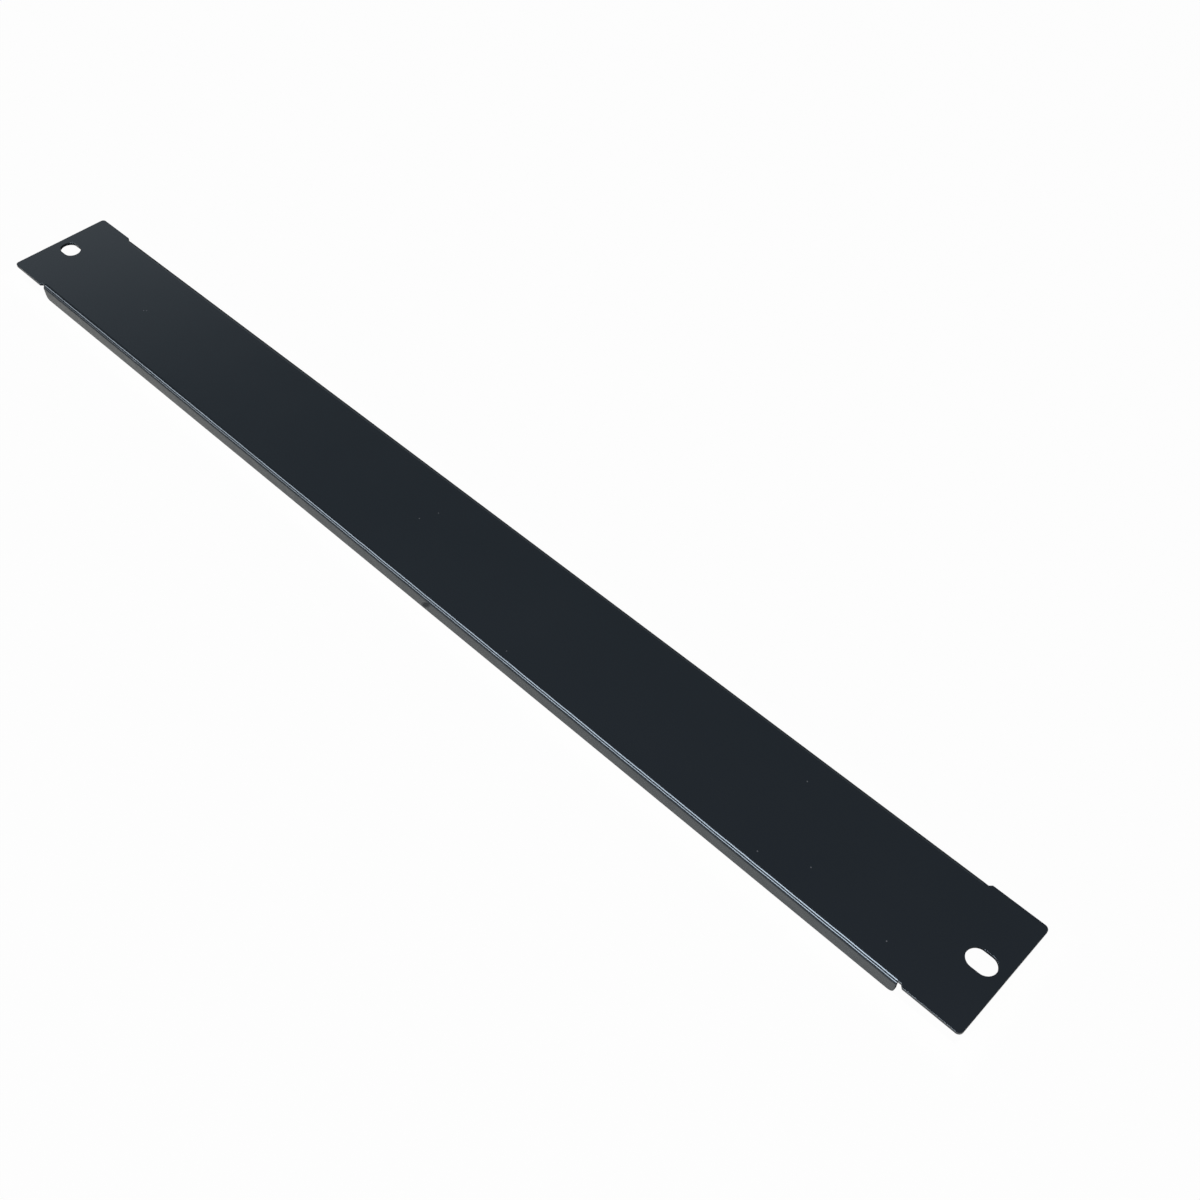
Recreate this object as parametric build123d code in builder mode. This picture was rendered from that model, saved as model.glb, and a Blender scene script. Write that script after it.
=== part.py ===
from build123d import *
import os

# One-unit blanking panel for a nineteen inch rack, folded from one piece of sheet steel.
# It lies face up, standing on the free edges of its two flanges.
# X runs along the panel, Y across it, and Z out of its front face.
# The origin is at the middle of its footprint, on the surface that it lies on.
# All sizes are in millimetres.

# Outline of the face
panel_length = 482.6
ear_length = 20.2
ear_height = 43.65
ear_corner_radius = 1.6

# Sheet and folds
sheet_thickness = 1.2
bend_inner_radius = 0.6
channel_height = 43.4
flange_depth = 7.0
flange_corner_radius = 2.0

# Relief cut between the end of each flange and the ear beside it, as deep as the slant of the ear's corner
relief_width = 1.2
relief_depth = 0.9

# Fixing slots, one in each ear, with their distance from the ear's end
slot_inset = 8.15
slot_length = 9.8
slot_width = 7.0

# Rounding of the cut edges under their coating
edge_round = 0.1

# Sizes that follow from the ones above
bend_outer_radius = bend_inner_radius + sheet_thickness
web_height = channel_height - 2 * bend_outer_radius
web_length = panel_length - 2 * ear_length
flange_length = web_length - 2 * relief_width
ear_pitch = panel_length - ear_length
relief_root_length = relief_width + 2 * edge_round
relief_root_pitch = web_length - relief_root_length
relief_root_height = ear_height - 2 * relief_depth
slot_pitch = panel_length - 2 * slot_inset
back_height = flange_depth - sheet_thickness


# Fold along one long edge: a quarter turn of the sheet, then the flange
with BuildPart() as fold:
    with BuildSketch(Plane.YZ) as section:
        with BuildLine():
            outside = JernArc((web_height / 2, flange_depth), (1, 0), bend_outer_radius, -90)
            inside = JernArc((web_height / 2, back_height), (1, 0), bend_inner_radius, -90)
            outer_foot = (channel_height / 2, 0)
            inner_foot = (channel_height / 2 - sheet_thickness, 0)
            Polyline(outside @ 1, outer_foot, inner_foot, inside @ 1)
            Line(inside @ 0, outside @ 0)
        make_face()
    extrude(amount=flange_length / 2, both=True)

    # Free corners of the flange
    free_edge = fold.faces().sort_by(Axis.Z)[0]
    fillet(free_edge.edges().filter_by(Axis.Y), flange_corner_radius)

    # Rounding of the rim, which runs on round those corners and up both ends of the fold
    free_edge = fold.faces().sort_by(Axis.Z)[0]
    fillet(free_edge.edges().filter_by(Axis.X), edge_round)


# The whole sheet in one piece: a flat web with an ear at each end, and a fold along each side
with BuildPart() as blanking_panel:
    with BuildSketch(Plane.XY.offset(flange_depth)) as flat:
        # Ears, with rounded outer corners and slanted inner ones
        with GridLocations(ear_pitch, 0, 2, 1):
            Rectangle(ear_length, ear_height)
        columns = flat.vertices().group_by(Axis.X)
        chamfer(columns[1] + columns[2], relief_depth)
        columns = flat.vertices().group_by(Axis.X)
        fillet(columns[0] + columns[-1], ear_corner_radius)
        with GridLocations(slot_pitch, 0, 2, 1):
            SlotOverall(slot_length, slot_width, mode=Mode.SUBTRACT)

        # Web, with a higher piece beside each ear that forms the reliefs' bottoms and runs on into the folds
        Rectangle(web_length, web_height)
        with GridLocations(relief_root_pitch, 0, 2, 1):
            Rectangle(relief_root_length, relief_root_height)
    extrude(amount=-sheet_thickness)

    # The edges that the folds carry on from stay square
    rims = blanking_panel.faces().filter_by(Axis.Z).edges()
    fillet(rims.filter_by(lambda edge: abs(edge.center().X) > flange_length / 2), edge_round)

    add(fold)
    mirror(about=Plane.XZ)

blanking_panel.part.label = "blanking_panel"

os.makedirs("parts", exist_ok=True)
export_step(blanking_panel.part, "parts/blanking_panel.step")
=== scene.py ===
import math

import bpy
from mathutils import Matrix, Vector


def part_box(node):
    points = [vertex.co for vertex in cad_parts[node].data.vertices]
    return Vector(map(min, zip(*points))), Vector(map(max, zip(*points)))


# Looks of a rack blanking panel: black satin powder coat on a folded steel sheet, on a pale floor.
# Everything is in metres, with X along the panel, Y across it and Z out of its front face.

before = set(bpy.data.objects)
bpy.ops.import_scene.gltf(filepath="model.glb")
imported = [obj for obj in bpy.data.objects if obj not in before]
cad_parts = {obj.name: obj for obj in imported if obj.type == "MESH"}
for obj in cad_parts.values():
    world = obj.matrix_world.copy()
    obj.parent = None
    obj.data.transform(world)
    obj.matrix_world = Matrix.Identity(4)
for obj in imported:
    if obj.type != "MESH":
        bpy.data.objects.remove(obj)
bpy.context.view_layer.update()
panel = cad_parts["blanking_panel"]
panel_low, panel_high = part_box("blanking_panel")

MM = 0.001

# Camera. Its lens and sensor are in millimetres, as Blender takes them.
CAMERA_PLACE = Vector((276.63, -194.79, 370.58)) * MM
CAMERA_AIM = Vector((65.65, 18.98, 7.0)) * MM
CAMERA_ROLL = math.radians(-0.29)
CAMERA_LENS = 41.80
CAMERA_SENSOR = 36.0

# Two rows of soft boxes in front of the panel, which make the bright lines along its front fold.
# Both run along X, from LAMP_LEFT to LAMP_RIGHT. Each fills a strip between two angles round the fold,
# counted from straight up towards the front, and its radiance rises from its left end to its right end.
LAMP_DISTANCE = 0.7
LAMP_LEFT = -1.15
LAMP_RIGHT = 0.25
LAMP_SECTIONS = 5
LAMP_COLOUR = (0.96, 0.98, 1.0)
HIGH_LAMP = {"from": math.radians(28), "to": math.radians(46), "left": 5.0, "right": 12.8}
LOW_LAMP = {"from": math.radians(75), "to": math.radians(87), "left": 1.5, "right": 12.5}

# Soft box to the right, which lights the right end more than the rest and is not mirrored in the panel
SIDE_LAMP_PLACE = Vector((0.42, -0.20, 0.18))
SIDE_LAMP_SIZE = 0.20
SIDE_LAMP_RADIANCE = 9.5

# Room round the panel, as the panel mirrors it. It is dark in front and below, and behind the panel it has
# a band of light above the horizon, under a dim ceiling. Each pair is the span in which one part gives way
# to the next: by the sine of a direction's angle above the horizon, or for BACK_START by how far backwards
# the direction points, from 0 to 1.
BACKGROUND = (1.0, 1.0, 1.0)
ROOM_DARK = (0.03, 0.032, 0.035)
ROOM_BAND = (0.565, 0.592, 0.605)
ROOM_CEILING = (0.100, 0.118, 0.130)
ROOM_ZENITH = (0.070, 0.078, 0.090)
BAND_FOOT = (math.sin(math.radians(14)), math.sin(math.radians(26)))
BAND_TOP = (math.sin(math.radians(26.6)), math.sin(math.radians(41.5)))
ZENITH_FOOT = (math.sin(math.radians(50)), math.sin(math.radians(66)))
BACK_START = (0.05, 0.25)

# Floor, whose colour holds painted light and shade: a painted shadow under the panel, and a painted pool of
# light round it that turns dark again a few millimetres away from it
FLOOR_RADIUS = 20.0
# Painted pool of light on the floor round the panel, and the darker floor beyond it
FLOOR_PAINTED_POOL = (0.438, 0.418, 0.382)
FLOOR_PAINTED_DIM = (0.12, 0.118, 0.115)
FLOOR_POOL_FADE = (3 * MM, 10 * MM)
# Painted shadow on the floor under the panel's footprint
FLOOR_PAINTED_SHADOW = (0.03, 0.03, 0.03)
FLOOR_PAINTED_SHADOW_FADE = (-0.5 * MM, 0)

# How much of the floor each kind of ray meets as plain white, from 0 to 1
FLOOR_WHITENING = {"Is Camera Ray": 0.98, "Is Glossy Ray": 0.03, "Is Transmission Ray": 0.03}

# Powder coat, with faint clouds in its colour, patches in its gloss and a fine orange peel
COAT_COLOUR = (0.0085, 0.0105, 0.0130)
COAT_COLOUR_LIGHT = (0.0105, 0.0125, 0.0150)
COAT_ROUGHNESS = 0.16
COAT_ROUGHNESS_SPREAD = 0.02
COAT_SPECULAR = 0.5
COAT_IOR = 1.75
COAT_TINT = (0.74, 0.87, 1.0)
CLOUD_SIZE = 35 * MM
CLOUD_DETAIL = 3
GLOSS_SIZE = 12 * MM
GLOSS_DETAIL = 4
PEEL_SIZE = 1.3 * MM
PEEL_DETAIL = 2
PEEL_HEIGHT = 0.0025 * MM

# Slight waves that the press left in the folds, which set in just below the level of the face
WAVE_SIZE = 7 * MM
WAVE_DETAIL = 1
WAVE_HEIGHT = 0.22 * MM
WAVE_LEVELS = (6.88 * MM, 6.98 * MM)

# Dull smear across the near flange, slanted from its free edge up to the fold
SMEAR_PLACE = Vector((22.3, -21.7, 3.1)) * MM
SMEAR_SLANT = math.radians(43)
SMEAR_RADII = Vector((1.6, 1.5, 5.3)) * MM
SMEAR_FADE = (0.35, 1.0)
SMEAR_ROUGHNESS = 0.45
SMEAR_SPECULAR = 0.06

# Specks of dust on the face, by their places along and across the panel in millimetres
SPECKS = [(-175.7, -1.5), (-174.7, -0.7), (-6.7, 1.0), (-3.8, 7.5), (58.9, -18.0),
          (161.3, 11.8), (166.0, -17.2), (180.6, -10.4), (210.5, -13.7)]
SPECK_FADE = (0.10 * MM, 0.32 * MM)
SPECK_COLOUR = (0.08, 0.08, 0.088)


def feed(node, inputs):
    """Sets a node's inputs by name or number, each to a number, a vector, an opaque colour or another
    node's output."""
    for name, value in inputs.items():
        socket = node.inputs[name]
        if isinstance(value, bpy.types.NodeSocket):
            node.id_data.links.new(value, socket)
        elif socket.type == "RGBA":
            socket.default_value = (*value, 1)
        else:
            socket.default_value = value


def add_node(tree, kind, inputs, **settings):
    """Adds a shader node, sets its properties and feeds its inputs."""
    node = tree.nodes.new(kind)
    for name, value in settings.items():
        setattr(node, name, value)
    feed(node, inputs)
    return node


def add_math(tree, operation, *values):
    """Works out a number from others, each a plain number or the output of a node."""
    return add_node(tree, "ShaderNodeMath", dict(enumerate(values)), operation=operation).outputs["Value"]


def add_noise(tree, place, size, detail):
    """Noise with features about as large as size, in metres."""
    inputs = {"Vector": place, "Scale": 1 / size, "Detail": detail}
    return add_node(tree, "ShaderNodeTexNoise", inputs).outputs["Fac"]


def add_range(tree, value, low, high):
    """Takes a value from 0 to 1 to a value from low to high."""
    inputs = {"Value": value, "To Min": low, "To Max": high}
    return add_node(tree, "ShaderNodeMapRange", inputs).outputs["Result"]


def add_step(tree, value, span):
    """A smooth step from 0 to 1 while value crosses the span."""
    inputs = {"Value": value, "From Min": span[0], "From Max": span[1]}
    return add_node(tree, "ShaderNodeMapRange", inputs, interpolation_type="SMOOTHSTEP").outputs["Result"]


def add_fall(tree, value, span):
    """A smooth fall from 1 to 0 while value crosses the span."""
    return add_range(tree, add_step(tree, value, span), 1, 0)


def add_mix(tree, share, first, second, kind="RGBA"):
    """Mixes two colours, or two numbers if kind is FLOAT, each a plain value or the output of a node."""
    inputs = {"Factor": share, "A": first, "B": second}
    return add_node(tree, "ShaderNodeMix", inputs, data_type=kind).outputs["Result"]


def add_bump(tree, height, distance, **others):
    """Bumps in the surface where a height from 0 to 1 changes, a distance in metres high."""
    inputs = {"Height": height, "Distance": distance, **others}
    return add_node(tree, "ShaderNodeBump", inputs).outputs["Normal"]


def add_waves(tree, place):
    """Waves in the folds and flanges, with none on the flat face."""
    parts = add_node(tree, "ShaderNodeSeparateXYZ", {"Vector": place})
    folded = add_fall(tree, parts.outputs["Z"], WAVE_LEVELS)
    return add_bump(tree, add_noise(tree, place, WAVE_SIZE, WAVE_DETAIL), WAVE_HEIGHT, Strength=folded)


def add_peel(tree, place):
    """Fine orange peel, on top of the waves."""
    peel = add_noise(tree, place, PEEL_SIZE, PEEL_DETAIL)
    return add_bump(tree, peel, PEEL_HEIGHT, Normal=add_waves(tree, place))


def add_smear(tree, place):
    """A mask that is 1 in the smear and 0 on the rest of the panel."""
    inputs = {"Vector": place, "Location": SMEAR_PLACE, "Rotation": (0, SMEAR_SLANT, 0),
              "Scale": SMEAR_RADII}
    local = add_node(tree, "ShaderNodeMapping", inputs, vector_type="TEXTURE")
    distance = add_node(tree, "ShaderNodeVectorMath", {0: local.outputs["Vector"]}, operation="LENGTH")
    return add_fall(tree, distance.outputs["Value"], SMEAR_FADE)


def add_specks(tree, place):
    """A mask that is 1 in the middle of each speck and 0 on the rest of the panel."""
    specks = 0
    for x, y in SPECKS:
        middle = (x * MM, y * MM, panel_high.z)
        distance = add_node(tree, "ShaderNodeVectorMath", {0: place, 1: middle}, operation="DISTANCE")
        speck = add_fall(tree, distance.outputs["Value"], SPECK_FADE)
        specks = add_math(tree, "MAXIMUM", specks, speck)
    return specks


def make_powder_coat():
    """The coat, with its smear dulled and its specks lightened."""
    material = bpy.data.materials.new("powder_coat_satin")
    material.use_nodes = True
    tree = material.node_tree
    place = add_node(tree, "ShaderNodeTexCoord", {}).outputs["Object"]

    clouds = add_noise(tree, place, CLOUD_SIZE, CLOUD_DETAIL)
    coat = add_mix(tree, clouds, COAT_COLOUR, COAT_COLOUR_LIGHT)
    colour = add_mix(tree, add_specks(tree, place), coat, SPECK_COLOUR)

    smear = add_smear(tree, place)
    gloss = add_noise(tree, place, GLOSS_SIZE, GLOSS_DETAIL)
    smoothest = COAT_ROUGHNESS - COAT_ROUGHNESS_SPREAD
    roughest = COAT_ROUGHNESS + COAT_ROUGHNESS_SPREAD
    plain = add_range(tree, gloss, smoothest, roughest)

    feed(tree.nodes["Principled BSDF"], {
        "Base Color": colour,
        "Roughness": add_mix(tree, smear, plain, SMEAR_ROUGHNESS, "FLOAT"),
        "Specular IOR Level": add_range(tree, smear, COAT_SPECULAR, SMEAR_SPECULAR),
        "Specular Tint": COAT_TINT,
        "IOR": COAT_IOR,
        "Normal": add_peel(tree, place),
    })
    return material


def add_panel_distance(tree):
    """How far a place on the floor is outside the panel's footprint, along X or Y, whichever is more."""
    place = add_node(tree, "ShaderNodeTexCoord", {}).outputs["Object"]
    from_middle = add_node(tree, "ShaderNodeVectorMath", {0: place}, operation="ABSOLUTE").outputs["Vector"]
    outside = add_node(tree, "ShaderNodeVectorMath", {0: from_middle, 1: panel_high}, operation="SUBTRACT")
    parts = add_node(tree, "ShaderNodeSeparateXYZ", {"Vector": outside.outputs["Vector"]})
    return add_math(tree, "MAXIMUM", parts.outputs["X"], parts.outputs["Y"])


def make_floor_material():
    """A matt floor that the camera sees as the white background, with a trace of the panel's shadow. Its
    colour holds a painted shadow under the panel and a painted pool of light round it.
    """
    material = bpy.data.materials.new("floor_white")
    material.use_nodes = True
    tree = material.node_tree
    tree.nodes.clear()

    distance = add_panel_distance(tree)
    # Painted shadow on the floor under the panel
    colour = add_mix(tree, add_step(tree, distance, FLOOR_PAINTED_SHADOW_FADE), FLOOR_PAINTED_SHADOW, FLOOR_PAINTED_POOL)
    # Painted pool of light: light floor near the panel, dark floor a few millimetres away
    colour = add_mix(tree, add_step(tree, distance, FLOOR_POOL_FADE), colour, FLOOR_PAINTED_DIM)
    matt = add_node(tree, "ShaderNodeBsdfDiffuse", {"Color": colour}).outputs["BSDF"]
    white = add_node(tree, "ShaderNodeEmission", {"Color": BACKGROUND}).outputs["Emission"]

    rays = add_node(tree, "ShaderNodeLightPath", {})
    whitening = 0
    for kind, amount in FLOOR_WHITENING.items():
        whitening = add_math(tree, "MULTIPLY_ADD", rays.outputs[kind], amount, whitening)
    mixed = add_node(tree, "ShaderNodeMixShader", {0: whitening, 1: matt, 2: white}).outputs["Shader"]
    add_node(tree, "ShaderNodeOutputMaterial", {"Surface": mixed})
    return material


def make_floor():
    """The surface that the panel stands on, far larger than what the camera sees of it."""
    corners = [(x * FLOOR_RADIUS, y * FLOOR_RADIUS, 0) for x, y in ((-1, -1), (1, -1), (1, 1), (-1, 1))]
    mesh = bpy.data.meshes.new("floor")
    mesh.from_pydata(corners, [], [(0, 1, 2, 3)])
    floor = bpy.data.objects.new("floor", mesh)
    mesh.materials.append(make_floor_material())
    bpy.context.scene.collection.objects.link(floor)


def make_surroundings():
    """The room, which the camera itself sees as white everywhere."""
    world = bpy.data.worlds.new("surroundings")
    world.use_nodes = True
    bpy.context.scene.world = world
    tree = world.node_tree

    ray = add_node(tree, "ShaderNodeTexCoord", {}).outputs["Generated"]
    direction = add_node(tree, "ShaderNodeSeparateXYZ", {"Vector": ray})
    backwards = direction.outputs["Y"]
    height = direction.outputs["Z"]
    above = add_mix(tree, add_step(tree, height, ZENITH_FOOT), ROOM_CEILING, ROOM_ZENITH)
    behind = add_mix(tree, add_step(tree, height, BAND_TOP), ROOM_BAND, above)
    behind = add_mix(tree, add_step(tree, height, BAND_FOOT), ROOM_DARK, behind)
    room = add_mix(tree, add_step(tree, backwards, BACK_START), ROOM_DARK, behind)

    rays = add_node(tree, "ShaderNodeLightPath", {})
    seen = add_mix(tree, rays.outputs["Is Camera Ray"], room, BACKGROUND)
    feed(tree.nodes["Background"], {"Color": seen})


def make_soft_box(name, place, target, width, depth, radiance):
    """A rectangular lamp that faces its target, with the power that gives its surface that radiance."""
    light = bpy.data.lights.new(name, "AREA")
    light.shape = "RECTANGLE"
    light.size = width
    light.size_y = depth
    light.color = LAMP_COLOUR
    light.energy = radiance * math.pi * width * depth
    box = bpy.data.objects.new(name, light)
    box.location = place
    box.rotation_mode = "QUATERNION"
    box.rotation_quaternion = (target - place).to_track_quat("-Z", "Y")
    bpy.context.scene.collection.objects.link(box)
    return box


def make_strip(name, lamp):
    """A row of soft boxes along X, whose radiance rises from left to right."""
    angle = (lamp["from"] + lamp["to"]) / 2
    depth = 2 * LAMP_DISTANCE * math.tan((lamp["to"] - lamp["from"]) / 2)
    length = (LAMP_RIGHT - LAMP_LEFT) / LAMP_SECTIONS
    fold = Vector((0, panel_low.y, panel_high.z))
    away = Vector((0, -math.sin(angle), math.cos(angle)))
    for section in range(LAMP_SECTIONS):
        share = section / (LAMP_SECTIONS - 1)
        radiance = lamp["left"] + share * (lamp["right"] - lamp["left"])
        target = fold + Vector((LAMP_LEFT + (section + 0.5) * length, 0, 0))
        make_soft_box(f"{name}_{section}", target + away * LAMP_DISTANCE, target, length, depth, radiance)


def make_side_lamp():
    """A soft box aimed at the floor at the panel's right end, which no glossy surface mirrors."""
    target = Vector((panel_high.x, 0, 0))
    lamp = make_soft_box("side_lamp", SIDE_LAMP_PLACE, target, SIDE_LAMP_SIZE, SIDE_LAMP_SIZE,
                         SIDE_LAMP_RADIANCE)
    lamp.visible_glossy = False


def make_camera():
    """The camera, turned towards its aim and then rolled a little."""
    data = bpy.data.cameras.new("camera")
    data.lens = CAMERA_LENS
    data.sensor_width = CAMERA_SENSOR
    camera = bpy.data.objects.new("camera", data)
    camera.rotation_mode = "QUATERNION"
    turn = (CAMERA_AIM - CAMERA_PLACE).to_track_quat("-Z", "Y").to_matrix().to_4x4()
    roll = Matrix.Rotation(CAMERA_ROLL, 4, "Z")
    camera.matrix_world = Matrix.Translation(CAMERA_PLACE) @ turn @ roll
    bpy.context.scene.collection.objects.link(camera)
    bpy.context.scene.camera = camera


panel.data.materials[0] = make_powder_coat()
make_floor()
make_surroundings()
make_strip("high_lamp", HIGH_LAMP)
make_strip("low_lamp", LOW_LAMP)
make_side_lamp()
make_camera()
bpy.context.scene.view_settings.view_transform = "Standard"
